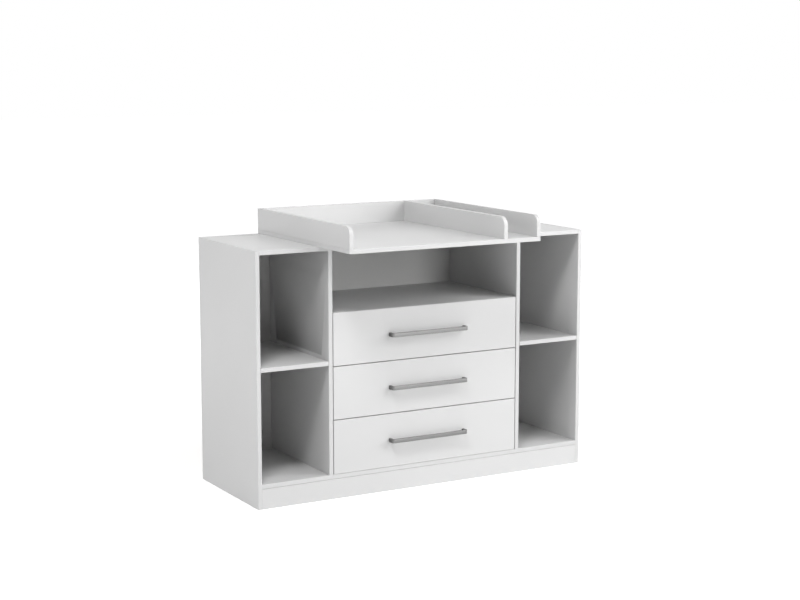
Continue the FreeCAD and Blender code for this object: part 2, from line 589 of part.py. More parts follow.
def changing_top():
    """The base that lies on the carcass and reaches out in front, its four upright boards and its fixings."""
    base, back_board = "changing_top_base", "changing_top_back_board"
    screws, dowels = "changing_top_screws", "changing_top_dowels"
    x0 = LEFT + TOP_LEFT_OFFSET
    x1 = x0 + TOP_WIDTH
    y0 = BACK - TOP_DEPTH
    wall_y = BACK - BOARD
    divider_x = x0 + BOARD + CHANGING_WIDTH
    board(base, x0, x1, y0, BACK, HEIGHT, BASE_TOP)
    board(back_board, x0 + BOARD, x1 - BOARD, wall_y, BACK, BASE_TOP, BASE_TOP + TOP_BOARD_HEIGHT)

    uprights = {"changing_top_left_board": (x0, x0 + BOARD, y0, BACK),
                "changing_top_right_board": (x1 - BOARD, x1, y0, BACK),
                "changing_top_divider": (divider_x, divider_x + BOARD, y0, wall_y)}
    for name, (left, right, front, back) in uprights.items():
        upright_board(name, left, right, front, back)
        for y in (front + TOP_SCREW_INSET, (front + back) / 2, back - TOP_SCREW_INSET):
            screw(screws, V((left + right) / 2, y, HEIGHT), Z, TOP_SCREW_LENGTH, base, BOARD, name)
    for x in (x0 + TOP_SCREW_INSET, (x0 + x1) / 2, x1 - TOP_SCREW_INSET):
        screw(screws, V(x, BACK - BOARD / 2, HEIGHT), Z, TOP_SCREW_LENGTH, base, BOARD, back_board)

    middle = BASE_TOP + TOP_BOARD_HEIGHT / 2
    for x, inward, host in ((x0 + BOARD, X, "changing_top_left_board"),
                            (x1 - BOARD, -X, "changing_top_right_board")):
        dowel_joint(dowels, back_board, host, V(x, BACK - BOARD / 2, middle), inward)
    for x in (x0 + LOCATING_DOWEL_INSET, x1 - LOCATING_DOWEL_INSET):
        for y in (FRONT + LOCATING_DOWEL_SETBACK, BACK - LOCATING_DOWEL_SETBACK):
            locating_dowel(dowels, base, V(x, y, HEIGHT))


def locating_dowel(node, base, point):
    """A dowel glued into the base that drops into a slightly wider hole of the carcass top."""
    in_base = BOARD - LOCATING_DOWEL_COVER
    depth = LOCATING_DOWEL_BITE + LOCATING_HOLE_FLOOR
    add(node, dowel(point - Z * LOCATING_DOWEL_BITE, Z, LOCATING_DOWEL_BITE + in_base))
    cut(base, rod(DOWEL_RADIUS + FITTING_PLAY, point, Z, in_base))
    cut("top_board", rod(DOWEL_RADIUS + LOCATING_HOLE_PLAY, point - Z * depth, Z, depth + SKIN))


# ---- assembly and output -------------------------------------------------------------------------------

carcass_boards()
back_panels()
tower_shelves()
compartment_shelf()
carcass_fittings()
wall_brackets()
for level, (lower_edge, upper_edge) in drawer_levels().items():
    drawer(level, lower_edge, upper_edge)
    cabinet_rails(level, lower_edge)
changing_top()

os.makedirs("parts", exist_ok=True)
for node, shapes in solids.items():
    whole = []
    for shape in shapes:
        tools = [c for c in cuts.get(node, []) if c.BoundBox.intersect(shape.BoundBox)]
        if tools:
            shape = shape.cut(tools)
        whole.extend(shape.Solids)
    result = whole[0] if len(whole) == 1 else Part.makeCompound(whole)
    result.exportStep("parts/" + node + ".step")
    volume = sum(s.Volume for s in whole) / 1000
    print(f"{node}: {len(whole)} solids, {volume:.1f} cm3, valid {all(s.isValid() for s in whole)}")
print(len(solids), "nodes")
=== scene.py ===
# %% [markdown]
# # A changing dresser, dressed around its construction
# The construction is a frame of boards, rails and fittings at their real size. This notebook gives each piece
# its finish and its fine shape: eased board edges, a bow handle, turned rollers and fluted dowels. Everything
# is in metres in the frame's own coordinates, so a piece goes where the frame says, with no fitting.

# %% Load the frame
import bmesh
import bpy
import json
import math
import numpy as np
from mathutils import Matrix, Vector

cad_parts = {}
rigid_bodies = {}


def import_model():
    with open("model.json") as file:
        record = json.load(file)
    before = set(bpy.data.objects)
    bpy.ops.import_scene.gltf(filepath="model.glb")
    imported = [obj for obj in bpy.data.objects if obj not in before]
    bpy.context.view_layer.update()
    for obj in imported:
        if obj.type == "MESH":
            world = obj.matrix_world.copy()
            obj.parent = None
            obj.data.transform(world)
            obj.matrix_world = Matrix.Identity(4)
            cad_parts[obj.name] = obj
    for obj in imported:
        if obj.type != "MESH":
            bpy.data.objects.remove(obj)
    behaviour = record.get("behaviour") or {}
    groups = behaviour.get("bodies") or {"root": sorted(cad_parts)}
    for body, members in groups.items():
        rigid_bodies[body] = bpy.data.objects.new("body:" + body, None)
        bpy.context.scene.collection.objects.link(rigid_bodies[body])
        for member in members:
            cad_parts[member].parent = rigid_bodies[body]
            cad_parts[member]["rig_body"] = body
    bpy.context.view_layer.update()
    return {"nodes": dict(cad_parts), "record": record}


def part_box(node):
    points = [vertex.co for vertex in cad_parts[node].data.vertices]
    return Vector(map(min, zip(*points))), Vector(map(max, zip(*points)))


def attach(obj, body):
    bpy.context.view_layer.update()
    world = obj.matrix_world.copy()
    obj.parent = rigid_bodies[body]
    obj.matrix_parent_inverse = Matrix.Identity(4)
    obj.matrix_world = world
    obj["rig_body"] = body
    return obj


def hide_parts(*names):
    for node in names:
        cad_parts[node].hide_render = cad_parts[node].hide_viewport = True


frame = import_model()
nodes = frame["nodes"]
slots = {part["node"]: part["material_slot"] for part in frame["record"]["subparts"]}
MM = 0.001


# %% [markdown]
# ## Colours and nodes
# A maker's colour card is written in sRGB, while Blender mixes light in linear values, so one function turns a
# hex value into linear light. A material's nodes could be joined by hand in the editor, but written down they
# can be read and repeated. That reads best when a node is added together with its settings and its links, so
# one small function does it for every kind of node.

# %% Colour and node helpers
def linear(hex_colour):
    """sRGB hex to linear RGBA: each channel over 0.04045 is ((c + 0.055) / 1.055) to the power 2.4."""
    srgb = np.array([int(hex_colour[i:i + 2], 16) for i in (1, 3, 5)]) / 255
    light = np.where(srgb <= 0.04045, srgb / 12.92, ((srgb + 0.055) / 1.055) ** 2.4)
    return (*light.tolist(), 1.0)


def add_node(tree, kind, settings=(), values=(), links=()):
    """Add a node of a kind with its settings, its socket values and its links from other sockets."""
    node = tree.nodes.new("ShaderNode" + kind)
    for name, value in dict(settings).items():
        setattr(node, name, value)
    for socket, value in dict(values).items():
        node.inputs[socket].default_value = value
    for socket, source in dict(links).items():
        tree.links.new(source, node.inputs[socket])
    return node


print("sRGB 0.5 is", round(linear("#808080")[0], 3), "in linear light")


# %% [markdown]
# ## From a pattern to a finish
# No real surface has one colour and one gloss all over. Each finish here is led by a noise of a real size,
# which shades the colour between two near values, varies the roughness, and gives a relief too fine to model.
# At a scale of one a noise's features lie about one metre apart, so its scale is one over their real size.
# Photographs of surfaces could do the same, but noise has no seam and keeps its size on every piece.

# %% Materials led by a pattern
PATTERN_RANGE = {"From Min": 0.3, "From Max": 0.7}     # nearly all values of a noise lie between these


def new_material(name, values):
    """A material, its node tree and the place on the piece; the values are those of its Principled shader."""
    material = bpy.data.materials.new(name)
    material.use_nodes = True
    tree = material.node_tree
    for socket, value in values.items():
        tree.nodes["Principled BSDF"].inputs[socket].default_value = value
    return material, tree, add_node(tree, "TexCoord").outputs["Object"]


def lead_finish(tree, pattern, colours, roughness, depth, tone=None, height=None):
    """Let a pattern lead the colour between two hex values, the roughness, and a relief of a depth in metres.

    Where they are given, tone is the pattern that leads the colour and height the one that leads the relief.
    """
    shader = tree.nodes["Principled BSDF"]
    dark, light = (linear(colour) for colour in colours)
    smooth, rough = roughness
    share = add_node(tree, "MapRange", values=PATTERN_RANGE, links={"Value": (tone or pattern).outputs[0]})
    shade = add_node(tree, "Mix", {"data_type": "RGBA"}, {"A": dark, "B": light},
                     {"Factor": share.outputs["Result"]})
    gloss = add_node(tree, "MapRange", values={**PATTERN_RANGE, "To Min": smooth, "To Max": rough},
                     links={"Value": pattern.outputs[0]})
    bump = add_node(tree, "Bump", values={"Distance": depth}, links={"Height": (height or pattern).outputs[0]})
    tree.links.new(shade.outputs["Result"], shader.inputs["Base Color"])
    tree.links.new(gloss.outputs["Result"], shader.inputs["Roughness"])
    tree.links.new(bump.outputs["Normal"], shader.inputs["Normal"])


print("a finish runs over a pattern from", *PATTERN_RANGE.values())


# %% [markdown]
# ## White boards
# The boards are chipboard pressed with paper soaked in melamine resin. The hot press plate leaves a fine pearl
# in the hard skin, which breaks up reflections, and the chips below press through as a very slight unevenness.
# A third and much larger pattern is the hardly seen change of white along a sheet. The cut edges are closed
# with a plastic band, a shade greyer, with faint marks of the scraper. The drawer boxes are chipboard under a
# lacquered paper foil, which is duller than melamine and a little felted.

# %% Board finishes
PEARL, CHIPS, SHEET = 1.2 * MM, 9 * MM, 400 * MM
CHIP_RELIEF = 0.6                # how far the chips stand out, as a share of the pearl


def melamine_board():
    """White melamine-faced chipboard: satin, neutral, with a fine pressed pearl."""
    material, tree, place = new_material("melamine faced chipboard", {"IOR": 1.5})
    pearl, chips, sheet = (
        add_node(tree, "TexNoise", values={"Scale": 1 / size, "Detail": detail}, links={"Vector": place})
        for size, detail in ((PEARL, 2.0), (CHIPS, 3.0), (SHEET, 1.0)))
    skin = add_node(tree, "Math", {"operation": "MULTIPLY_ADD"}, {1: CHIP_RELIEF},
                    {0: chips.outputs[0], 2: pearl.outputs[0]})
    lead_finish(tree, chips, colours=("#d6d6d6", "#d9d9d9"), roughness=(0.40, 0.48), depth=0.02 * MM,
                tone=sheet, height=skin)
    return material


def edge_band():
    """White ABS edge band: satin and a shade greyer than the board, with faint scraper marks."""
    material, tree, place = new_material("abs edge band", {"IOR": 1.52})
    marks = add_node(tree, "TexNoise", values={"Scale": 1 / (2.5 * MM), "Detail": 2.0}, links={"Vector": place})
    lead_finish(tree, marks, colours=("#d3d3d3", "#d6d6d6"), roughness=(0.42, 0.50), depth=0.01 * MM)
    return material


def foiled_board():
    """Paper-foiled chipboard of the drawer boxes: a duller white, with the fine felt of lacquered paper."""
    material, tree, place = new_material("foiled drawer board", {"IOR": 1.48})
    felt = add_node(tree, "TexNoise", values={"Scale": 1 / (2 * MM), "Detail": 4.0, "Roughness": 0.7},
                    links={"Vector": place})
    lead_finish(tree, felt, colours=("#d3d3d1", "#d8d8d6"), roughness=(0.5, 0.6), depth=0.02 * MM)
    return material


print("board finishes ready")


# %% [markdown]
# ## Hardboard, the backs and the drawer bottoms
# Hardboard is wood fibre pressed against a wire screen. Its smooth face is lacquered white and shows inside the
# compartments, while its back keeps the brown fibre and the print of the screen. Modelling the print would take
# millions of faces, so two crossed sine waves draw it in the material. The real screen has a pitch of about
# 1.3 mm, drawn here at 2.6 mm so that it can be seen.

# %% Hardboard finishes
SCREEN_PITCH = 2.6 * MM


def lacquered_hardboard():
    """The smooth face of hardboard under white lacquer: matt, with a slight fibre unevenness."""
    material, tree, place = new_material("white lacquered hardboard", {"IOR": 1.45})
    fibre = add_node(tree, "TexNoise", values={"Scale": 1 / (5 * MM), "Detail": 5.0, "Roughness": 0.65},
                     links={"Vector": place})
    lead_finish(tree, fibre, colours=("#d5d5d4", "#d8d8d7"), roughness=(0.5, 0.6), depth=0.03 * MM)
    return material


def raw_hardboard():
    """The screen-printed back of hardboard: brown wood fibre, dull, with a woven relief.

    A wave texture repeats after two pi over twenty times its scale, which gives the scale for a pitch.
    """
    material, tree, place = new_material("raw hardboard back", {"IOR": 1.4})
    fibre = add_node(tree, "TexNoise", values={"Scale": 1 / (4 * MM), "Detail": 6.0, "Roughness": 0.7},
                     links={"Vector": place})
    waves = {}
    for number, direction in enumerate("XZ"):
        wave = add_node(tree, "TexWave", {"wave_type": "BANDS", "bands_direction": direction},
                        {"Scale": 2 * math.pi / (20 * SCREEN_PITCH), "Distortion": 0.4}, {"Vector": place})
        waves[number] = wave.outputs["Fac"]
    screen = add_node(tree, "Math", {"operation": "MULTIPLY"}, links=waves)
    lead_finish(tree, fibre, colours=("#7d6046", "#99795a"), roughness=(0.78, 0.9), depth=0.15 * MM,
                height=screen)
    return material


print("hardboard finishes ready, the screen at", SCREEN_PITCH / MM, "mm")


# %% [markdown]
# ## Metals
# The handles are satin nickel: die-cast bars brushed along their length. A single blurred highlight would look
# cast, so streaks are drawn by a noise that is stretched along X. The cams are dull die-cast zinc, and screws,
# pins and brackets are bright zinc-plated steel with its faint cloudy passivation. The rails are sheet steel
# under a white epoxy powder coat, whose orange peel is noise of 1.5 mm.

# %% Metal finishes
def satin_nickel():
    """Brushed satin nickel of the handles: mid grey, with soft streaks forty times as long as they are wide."""
    material, tree, place = new_material("brushed satin nickel", {"Metallic": 1.0})
    along = add_node(tree, "Mapping", values={"Scale": (1 / 40, 1, 1)}, links={"Vector": place})
    streaks = add_node(tree, "TexNoise", values={"Scale": 1 / (0.7 * MM), "Detail": 4.0},
                       links={"Vector": along.outputs["Vector"]})
    lead_finish(tree, streaks, colours=("#777777", "#858584"), roughness=(0.36, 0.48), depth=0.01 * MM)
    return material


def die_cast_zinc():
    """Die-cast zinc alloy of the cams: dull grey, slightly grainy from the mould."""
    material, tree, place = new_material("die cast zinc", {"Metallic": 1.0})
    grain = add_node(tree, "TexNoise", values={"Scale": 1 / (0.8 * MM), "Detail": 4.0, "Roughness": 0.7},
                     links={"Vector": place})
    lead_finish(tree, grain, colours=("#8b8d90", "#a2a4a6"), roughness=(0.45, 0.6), depth=0.03 * MM)
    return material


def zinc_plated_steel():
    """Bright zinc-plated steel of screws, pins and brackets: cool, with cloudy passivation."""
    material, tree, place = new_material("zinc plated steel", {"Metallic": 1.0})
    clouds = add_node(tree, "TexNoise", values={"Scale": 1 / (3 * MM), "Detail": 3.0}, links={"Vector": place})
    lead_finish(tree, clouds, colours=("#b3b6bb", "#c6c9cc"), roughness=(0.22, 0.36), depth=0.01 * MM)
    return material


def coated_rail_steel():
    """Epoxy-coated sheet steel of the rails: white, with the orange peel of a baked powder."""
    material, tree, place = new_material("epoxy coated rail steel", {"IOR": 1.5, "Coat Weight": 0.2})
    peel = add_node(tree, "TexNoise", values={"Scale": 1 / (1.5 * MM), "Detail": 2.0}, links={"Vector": place})
    lead_finish(tree, peel, colours=("#e9e9e7", "#eeeeec"), roughness=(0.3, 0.4), depth=0.03 * MM)
    return material


print("metal finishes ready")


# %% [markdown]
# ## Plastics and beech
# Nylon rollers are milky because light sinks into them, which a little subsurface scattering gives and a plain
# white wouldn't. The strips between the back panels are extruded, so the die leaves faint lines up their
# length. Dowels are raw beech, whose short dark flecks run along the grain. Both kinds of line are noise again,
# stretched along Z.

# %% Plastic and wood finishes
def natural_nylon():
    """Natural nylon of the rollers: milky, with light that sinks in a little."""
    material, tree, place = new_material(
        "natural nylon", {"IOR": 1.53, "Subsurface Weight": 0.15, "Subsurface Scale": 1.5 * MM})
    cloud = add_node(tree, "TexNoise", values={"Scale": 1 / (3 * MM), "Detail": 2.0}, links={"Vector": place})
    lead_finish(tree, cloud, colours=("#e9e7df", "#efede6"), roughness=(0.35, 0.45), depth=0.01 * MM)
    return material


def extruded_plastic():
    """White extruded plastic of the panel joiners: smooth, with die lines sixty times as long as wide."""
    material, tree, place = new_material("extruded white plastic", {"IOR": 1.5})
    up = add_node(tree, "Mapping", values={"Scale": (1, 1, 1 / 60)}, links={"Vector": place})
    lines = add_node(tree, "TexNoise", values={"Scale": 1 / (0.8 * MM), "Detail": 2.0},
                     links={"Vector": up.outputs["Vector"]})
    lead_finish(tree, lines, colours=("#ebebea", "#f0f0ef"), roughness=(0.35, 0.45), depth=0.01 * MM)
    return material


def raw_beech():
    """Raw beech of the dowels: warm, with dark flecks five times as long as they are wide."""
    material, tree, place = new_material("raw beech", {"IOR": 1.45})
    up = add_node(tree, "Mapping", values={"Scale": (1, 1, 1 / 5)}, links={"Vector": place})
    flecks = add_node(tree, "TexNoise", values={"Scale": 1 / (0.6 * MM), "Detail": 4.0},
                      links={"Vector": up.outputs["Vector"]})
    lead_finish(tree, flecks, colours=("#c39a6c", "#dcbb92"), roughness=(0.6, 0.75), depth=0.03 * MM)
    return material


print("plastic and wood finishes ready")


# %% [markdown]
# ## A finish for each material
# The frame's record names the material of every node, so one table from material to finish dresses them all.
# Two finishes are only parts of a piece: the band on a board's edges and the raw back of hardboard.

# %% Finish table
finishes = {
    "coated_board": melamine_board(), "drawer_board": foiled_board(), "hardboard": lacquered_hardboard(),
    "beech": raw_beech(), "satin_metal": satin_nickel(), "zinc_alloy": die_cast_zinc(),
    "zinc_plated_steel": zinc_plated_steel(), "coated_rail_steel": coated_rail_steel(),
    "nylon": natural_nylon(), "white_plastic": extruded_plastic(),
}
BAND = edge_band()
RAW_BACK = raw_hardboard()
print(len(finishes) + 2, "finishes; materials without one:", sorted(set(slots.values()) - set(finishes)))


# %% [markdown]
# ## Copies of the frame's pieces
# The frame's mesh already has every groove and hole of a board. Building the board again could only move them,
# so a board is a copy of that mesh. The copy's doubled corners are merged and its flat faces made whole, which
# leaves clean outlines to round later. Three small functions read its corners, edges and face directions as
# numpy arrays.

# %% Copies of the frame's pieces
MERGE = 0.01 * MM                # corners closer than this are one
FLAT = math.radians(1.0)         # neighbouring faces that turn less than this are one face


def merged_copy(node):
    """A copy of a node's mesh with its doubled corners merged and its flat faces made whole."""
    mesh = nodes[node].data.copy()
    mesh.name = node + "_mesh"
    work = bmesh.new()
    work.from_mesh(mesh)
    bmesh.ops.remove_doubles(work, verts=work.verts, dist=MERGE)
    bmesh.ops.dissolve_limit(work, angle_limit=FLAT, verts=work.verts, edges=work.edges)
    work.to_mesh(mesh)
    work.free()
    return mesh


def corner_array(mesh):
    """Corner places of a mesh as an (n, 3) array."""
    flat = np.empty(len(mesh.vertices) * 3, np.float32)
    mesh.vertices.foreach_get("co", flat)
    return flat.reshape(-1, 3).astype(float)


def edge_array(mesh):
    """Corner numbers of a mesh's edges as an (n, 2) array."""
    flat = np.empty(len(mesh.edges) * 2, np.int32)
    mesh.edges.foreach_get("vertices", flat)
    return flat.reshape(-1, 2)


def normal_array(mesh):
    """Face normals of a mesh as an (n, 3) array."""
    flat = np.empty(len(mesh.polygons) * 3, np.float32)
    mesh.polygons.foreach_get("normal", flat)
    return flat.reshape(-1, 3)


print("the top board's mesh has", len(corner_array(nodes["top_board"].data)), "corners before merging")


# %% [markdown]
# ## A finished piece in its node's place
# A finished mesh has to move with the same body as its node, take the materials that it is given, and hide
# the node it stands for. Its faces are shaded smooth and only real creases are kept sharp, so that a turned
# face looks round and a board still has crisp edges.

# %% Put a piece in place
CREASE = math.radians(30.0)      # faces that turn more than this meet at a sharp edge


def put_in_place(mesh, node, materials):
    """Show a mesh in place of a node: same body, with the materials that it is given and its creases."""
    mesh.materials.clear()
    for material in materials:
        mesh.materials.append(material)
    mesh.shade_smooth()
    mesh.set_sharp_from_angle(angle=CREASE)
    piece = bpy.data.objects.new(node + "_finished", mesh)
    bpy.context.scene.collection.objects.link(piece)
    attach(piece, nodes[node]["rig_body"])
    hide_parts(node)
    return piece


print("creases from", round(math.degrees(CREASE)), "degrees")


# %% [markdown]
# ## Which edges of a board are rounded
# Only a board's outer edges are banded and rounded, and its grooves and holes stay as they were cut. An edge is
# an outer one where both of its ends lie on the same two of the six planes that limit the board. On the
# changing top's upright boards the large round front corner belongs to it as well. Picking the edges by hand
# would have to be done again whenever the size changes, while this rule holds at any size.

# %% Outer edges of a board
LEFT, UNDERSIDE, RIGHT = 0, 2, 3                     # columns of a board's six planes: x, y, z low, then high
TOP_ROUNDING = 32 * MM                               # rounding of the changing top's front corners
ON_ARC = 5 * MERGE                                   # how near the rounding's arc a corner has to lie
UPRIGHTS = ["changing_top_" + name for name in ("left_board", "right_board", "divider")]
STANDING = UPRIGHTS + ["changing_top_back_board"]    # the boards that stand on the changing top's base


def node_box(node):
    """Low and high corner of a node as arrays."""
    return [np.array(corner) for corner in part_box(node)]


def outer_edges(mesh, node, rounded):
    """Edges whose two ends share two limiting planes, or lie on a rounded corner of one large face.

    A corner lies on the arc where its distance from the arc's centre is the rounding. A board that stands on
    another one keeps its sawn edges underneath, so that no more than a hair is left below it.
    """
    points = corner_array(mesh)
    low, high = node_box(node)
    on_plane = np.hstack([abs(points - low) < MERGE, abs(points - high) < MERGE])
    starts, ends = edge_array(mesh).T
    shared = on_plane[starts] & on_plane[ends]
    outer = shared.sum(axis=1) >= 2
    if node in STANDING:
        outer &= ~shared[:, UNDERSIDE]
    if rounded:
        from_centre = np.hypot(points[:, 1] - low[1] - TOP_ROUNDING, points[:, 2] - high[2] + TOP_ROUNDING)
        arc = (abs(from_centre - TOP_ROUNDING) < ON_ARC) & (points[:, 1] < low[1] + TOP_ROUNDING + MERGE)
        outer |= arc[starts] & arc[ends] & (shared[:, LEFT] | shared[:, RIGHT])
    return outer


print(len(STANDING), "boards stand on the changing top's base, rounded at", TOP_ROUNDING / MM, "mm")


# %% [markdown]
# ## Boards with eased edges
# A sawn and banded board never has a knife edge: its band is rounded to about a millimetre. The rounding could
# be cut into the mesh, but a Bevel modifier does it on just the edges that have a weight, and its width stays
# one number. Faces that look along the board's thinnest direction are melamine and the others are edge band.

# %% Ease the board edges
BAND_ROUNDING = 0.9 * MM
BAND_STEPS = 3
FACING = 0.5                     # share of a unit normal from which a face looks along a direction
levels = ["bottom", "middle", "top"]
carcass_boards = ["left_outer_side", "right_outer_side", "top_board", "bottom_board", "left_partition",
                  "right_partition", "front_plinth", "rear_plinth", "left_tower_shelf",
                  "right_tower_shelf", "compartment_shelf"]


def eased_board(node, rounding=BAND_ROUNDING, edge=BAND, rounded=False):
    """A board with rounded outer edges, its finish on the large faces and another one on the edges."""
    mesh = merged_copy(node)
    weights = mesh.attributes.new("bevel_weight_edge", "FLOAT", "EDGE")
    weights.data.foreach_set("value", outer_edges(mesh, node, rounded).astype(np.float32))
    thin = int(np.argmin(np.subtract(*node_box(node)[::-1])))
    is_edge = abs(normal_array(mesh)[:, thin]) < FACING
    piece = put_in_place(mesh, node, [finishes[slots[node]], edge])
    mesh.polygons.foreach_set("material_index", is_edge.astype(np.int32))
    bevel = piece.modifiers.new("eased edges", "BEVEL")
    bevel.limit_method = "WEIGHT"
    bevel.width = rounding
    bevel.segments = BAND_STEPS
    bevel.use_clamp_overlap = False
    bevel.loop_slide = False
    bevel.harden_normals = True
    return piece


for node in carcass_boards + [level + "_drawer_front" for level in levels]:
    eased_board(node)
for node in ["changing_top_base"] + STANDING:
    eased_board(node, rounded=node in UPRIGHTS)
print("boards eased to", BAND_ROUNDING / MM, "mm")


# %% [markdown]
# ## Hair-wide joints
# Boards that are screwed together leave a hair between them, which shows as a fine dark line, and a drawer's
# front hangs just clear of the board below it. A dark stripe could be painted there, but a real gap is dark
# from every side. So the faces on one side of each joint are moved by the width that the photograph shows.

# %% Open the joints
PLINTH_JOINT = 0.8 * MM          # between a plinth and the bottom board above it
STANDING_JOINT = 0.3 * MM        # under the boards that stand on the changing top's base
LOWER_FRONT = 2 * MM             # how far the bottom drawer's front is drawn down, which leaves 1 mm below it
BOTTOM_FACE, TOP_FACE = 0, 1     # which corner of a node's box


def shift_face(node, end, rise):
    """Move the bottom or the top face of a finished board: its corners' height is the box's plus the rise."""
    mesh = bpy.data.objects[node + "_finished"].data
    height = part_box(node)[end].z
    points = corner_array(mesh)
    points[abs(points[:, 2] - height) < MERGE, 2] = height + rise
    mesh.vertices.foreach_set("co", points.ravel().astype(np.float32))
    mesh.update()


for node in ("front_plinth", "rear_plinth"):
    shift_face(node, TOP_FACE, -PLINTH_JOINT)
for node in STANDING:
    shift_face(node, BOTTOM_FACE, STANDING_JOINT)
shift_face("bottom_drawer_front", BOTTOM_FACE, -LOWER_FRONT)
print("joints of", round(PLINTH_JOINT / MM, 1), "and", round(STANDING_JOINT / MM, 1), "mm opened")


# %% [markdown]
# ## Drawer boxes, backs and drawer bottoms
# Drawer sides are foiled all round, so their edges and faces share one finish and only the rounding is finer.
# Back panels and drawer bottoms are 3 mm hardboard: white lacquer on the face that is seen, raw fibre behind.
# Splitting the panel in two skins would leave a seam, so the faces of one mesh are sorted by their normals: the
# raw ones look backwards on a back panel, and downwards on a drawer bottom.

# %% Drawer boxes and hardboard
FOIL_ROUNDING = 0.6 * MM
for level in levels:
    for piece_name in ("left_side", "right_side", "back"):
        eased_board(f"{level}_drawer_{piece_name}", FOIL_ROUNDING, edge=finishes["drawer_board"])


def hardboard_panel(node, raw_direction):
    """A hardboard panel, raw on the faces that look along a direction and on its cut edges."""
    mesh = merged_copy(node)
    lacquered = normal_array(mesh) @ np.array(raw_direction, np.float32) < -FACING
    piece = put_in_place(mesh, node, [finishes["hardboard"], RAW_BACK])
    mesh.polygons.foreach_set("material_index", (~lacquered).astype(np.int32))
    return piece


for side in ("left", "middle", "right"):
    hardboard_panel(side + "_back_panel", (0, 1, 0))
for level in levels:
    hardboard_panel(level + "_drawer_bottom", (0, 0, -1))
print("drawer boxes and hardboard done")


# %% [markdown]
# ## Surfaces worked out with numpy
# A turned part or a bent bar is a closed profile carried along a path, so its corners make a grid: one
# direction runs round the profile and the other along the path. Modifiers could turn or sweep a profile too,
# but a grid says exactly where each corner lies. One function turns such a grid into a mesh, closes its ends,
# and makes its faces point outwards by the sign of the volume that they enclose.

# %% Grid surfaces
def grid_faces(rows, columns, closed_rows):
    """Corner numbers of the quads between neighbouring rows and columns; the columns always close."""
    last = rows if closed_rows else rows - 1
    row, column = np.meshgrid(np.arange(last), np.arange(columns), indexing="ij")
    after, beside = (row + 1) % rows, (column + 1) % columns
    quads = [row * columns + column, row * columns + beside, after * columns + beside, after * columns + column]
    return np.stack(quads, axis=-1).reshape(-1, 4)


def enclosed_volume(points, quads):
    """Volume inside quads: a sixth of the triple product of each triangle's three corners, added up."""
    a, b, c, d = (points[quads[:, i]] for i in range(4))
    halves = np.einsum("ij,ij->i", a, np.cross(b, c)) + np.einsum("ij,ij->i", a, np.cross(c, d))
    return halves.sum() / 6


def grid_mesh(name, grids, closed_rows=False):
    """One mesh from several (rows, columns, 3) grids, each closed round its columns and at its ends."""
    points, faces, start = [], [], 0
    for grid in grids:
        rows, columns = grid.shape[:2]
        flat = grid.reshape(-1, 3)
        quads = grid_faces(rows, columns, closed_rows)
        caps = [] if closed_rows else [np.arange(columns)[::-1], (rows - 1) * columns + np.arange(columns)]
        if enclosed_volume(flat - flat.mean(axis=0), quads) < 0:
            quads, caps = quads[:, ::-1], [cap[::-1] for cap in caps]
        faces += [*(start + quads).tolist(), *[(start + cap).tolist() for cap in caps]]
        points.append(flat)
        start += len(flat)
    mesh = bpy.data.meshes.new(name)
    mesh.from_pydata(np.concatenate(points).tolist(), [], faces)
    mesh.validate()
    return mesh


print("a ring of 4 by 6 corners has", len(grid_faces(4, 6, True)), "faces")


# %% [markdown]
# ## The bow handles
# Each handle is one flat bar, 9 by 15 mm, bent towards the front at both ends. A curve with a bevelled outline
# would twist the bar in its bends. The real one keeps its band of 15 mm upright all the way, so its section is
# carried along a path in the level plane: out of the front, round a corner and across to the other leg. The
# path's direction turns smoothly through the corners, and the section stays square to it. The section's own
# corners are rounded by about a millimetre, as a die-cast and brushed bar has them.

# %% Handles
BAR = 9 * MM
HANDLE_CORNER = 10 * MM          # outer radius of the bend
CORNER_STEPS = 12
BAR_EDGE = 1.2 * MM              # rounding of the section's corners
EDGE_STEPS = 4


def rounded_outline(width, height, radius):
    """Points round a rectangle with rounded corners, centred on the origin, as an (n, 2) array.

    Each corner's centre lies a radius inside both sides, and its points run over a quarter turn.
    """
    turn = np.linspace(0, math.pi / 2, EDGE_STEPS + 1)
    quarter = np.arange(4)[:, None] * math.pi / 2
    angles = (turn + quarter).ravel()
    sign_x = np.repeat([1, -1, -1, 1], EDGE_STEPS + 1)
    sign_y = np.repeat([1, 1, -1, -1], EDGE_STEPS + 1)
    x = sign_x * (width / 2 - radius) + radius * np.cos(angles)
    y = sign_y * (height / 2 - radius) + radius * np.sin(angles)
    return np.stack([x, y], axis=1)


def bow_path(left, right, front, nose):
    """Centre line and outward side of a bow: a leg, a quarter turn, the bar, a quarter turn and a leg.

    The turn's centre lies a corner radius in from the nose and from the end, and the centre line runs half a
    bar inside the outer one.
    """
    radius = HANDLE_CORNER - BAR / 2
    turn = np.linspace(0, math.pi / 2, CORNER_STEPS + 1)
    out = np.stack([-np.cos(turn), -np.sin(turn)], axis=1)
    centre = np.array([left + HANDLE_CORNER, nose + HANDLE_CORNER])
    bend = centre + radius * out
    foot = np.array([[left + BAR / 2, front]])
    half_line = np.concatenate([foot, bend])
    half_out = np.concatenate([out[:1], out])
    mirror = np.array([-1, 1])
    line = np.concatenate([half_line, half_line[::-1] * mirror + [left + right, 0]])
    return line, np.concatenate([half_out, half_out[::-1] * mirror])


def bow_handle(level):
    """The section carried along the bow's path: across the bar it follows the outward side, and up it is Z."""
    node = level + "_drawer_handle"
    low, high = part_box(node)
    line, out = bow_path(low.x, high.x, high.y, low.y)
    outline = rounded_outline(BAR, high.z - low.z, BAR_EDGE)
    level_place = line[:, None, :] + out[:, None, :] * outline[None, :, :1]
    height = np.broadcast_to((low.z + high.z) / 2 + outline[:, 1], level_place.shape[:2])
    grid = np.concatenate([level_place, height[..., None]], axis=-1)
    return put_in_place(grid_mesh(node + "_mesh", [grid]), node, [finishes["satin_metal"]])


for level in levels:
    bow_handle(level)


